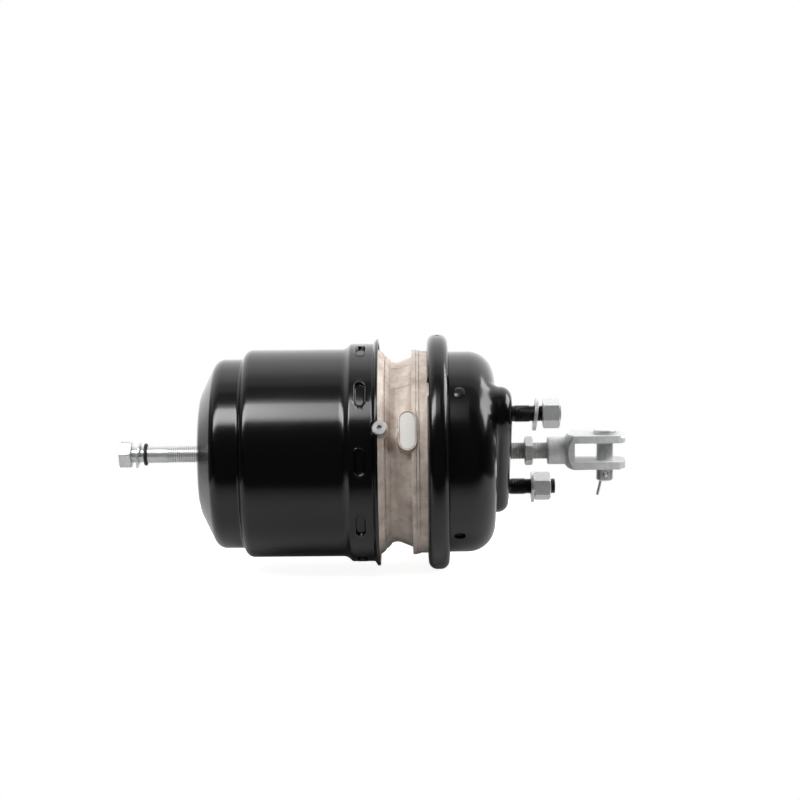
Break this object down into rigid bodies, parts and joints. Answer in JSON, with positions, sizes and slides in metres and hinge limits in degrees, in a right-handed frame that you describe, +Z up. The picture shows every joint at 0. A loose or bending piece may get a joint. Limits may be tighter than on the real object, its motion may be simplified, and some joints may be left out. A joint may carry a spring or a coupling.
{
  "type": "air brake chamber",
  "caption": "Combination air brake chamber with a steel spring can, cast aluminium centre flange, clamp band, mounting studs, and a threaded push rod with a clevis.",
  "frame": {"origin": "centre of the mounting pad's face, on the push rod's axis", "axes": "+X along the push rod, out of the mounting face; +Z up, with the mounting studs at 45 degrees"},
  "size_m": [0.476, 0.2208, 0.2208],
  "materials": {
    "black_enamel": "gloss black enamel on drawn steel",
    "cast_aluminium": "as-cast aluminium with a fine grain",
    "zinc_plate": "bright zinc plate",
    "zinc_clevis": "matte zinc plate on a forging",
    "dark_stud": "black steel",
    "rod_steel": "zinc plated rod",
    "spring_steel": "coated spring wire",
    "rubber_black": "black rubber",
    "guide_plastic": "acetal",
    "vent_plastic": "black moulded plastic",
    "label_white": "off-white plate",
    "brass_bush": "turned brass"
  },
  "bodies": {
    "root": {"spring_housing": "black_enamel", "release_thread_bush": "brass_bush", "power_spring": "spring_steel", "centre_flange": "cast_aluminium", "flange_seal": "rubber_black", "tube_guide_bush": "guide_plastic", "tube_seals": "rubber_black", "service_diaphragm": "rubber_black", "return_spring": "spring_steel", "service_housing": "black_enamel", "mounting_studs": "dark_stud", "stud_washers": "zinc_plate", "stud_nuts": "zinc_plate", "clamp_band": "black_enamel", "clamp_bolt": "zinc_plate", "clamp_nut": "zinc_plate", "vent_plugs": "vent_plastic", "dust_guard": "rubber_black", "lock_screw": "zinc_plate", "label_plate": "label_white"},
    "parking_piston": {"spring_piston": "cast_aluminium", "piston_seal": "rubber_black", "piston_guide_ring": "guide_plastic", "piston_tube": "zinc_plate", "tube_end_plug": "guide_plastic"},
    "release_travel": {"release_washer": "zinc_plate", "release_seal_ring": "rubber_black"},
    "release_screw": {"release_bolt": "zinc_plate", "release_thrust_collar": "zinc_plate"},
    "push_rod_body": {"push_plate": "zinc_plate", "push_rod": "rod_steel", "jam_nut": "zinc_plate"},
    "clevis_body": {"clevis": "zinc_clevis"},
    "clevis_pin_body": {"clevis_pin": "zinc_plate", "cotter_pin": "zinc_plate"}
  },
  "joints": [
    {"name": "push_rod_stroke", "type": "slide", "parent": "root", "child": "push_rod_body", "axis": [1, 0, 0], "range_m": [0, 0.057], "stiffness_N_per_m": 1500, "springref_m": -0.05, "deforming": ["return_spring", "service_diaphragm"]},
    {"name": "clevis_turn", "type": "hinge", "parent": "push_rod_body", "child": "clevis_body", "pos_m": [0.045, 0, 0], "axis": [1, 0, 0], "continuous": true},
    {"name": "clevis_pin_spin", "type": "hinge", "parent": "clevis_body", "child": "clevis_pin_body", "pos_m": [0.0892, 0, 0], "axis": [0, 0, 1], "continuous": true},
    {"name": "release_bolt_travel", "type": "slide", "parent": "root", "child": "release_travel", "axis": [1, 0, 0], "range_m": [0, 0.047]},
    {"name": "release_bolt_turn", "type": "hinge", "parent": "release_travel", "child": "release_screw", "pos_m": [-0.36, 0, 0], "axis": [1, 0, 0], "range_deg": [0, 8460]},
    {"name": "parking_piston_float", "type": "slide", "parent": "root", "child": "parking_piston", "axis": [1, 0, 0], "range_m": [-0.002, 0], "deforming": ["power_spring"]}
  ],
  "couplings": [
    {"joint": "release_bolt_turn", "follows": "release_bolt_travel", "rad_per_m": 3141.6}
  ]
}
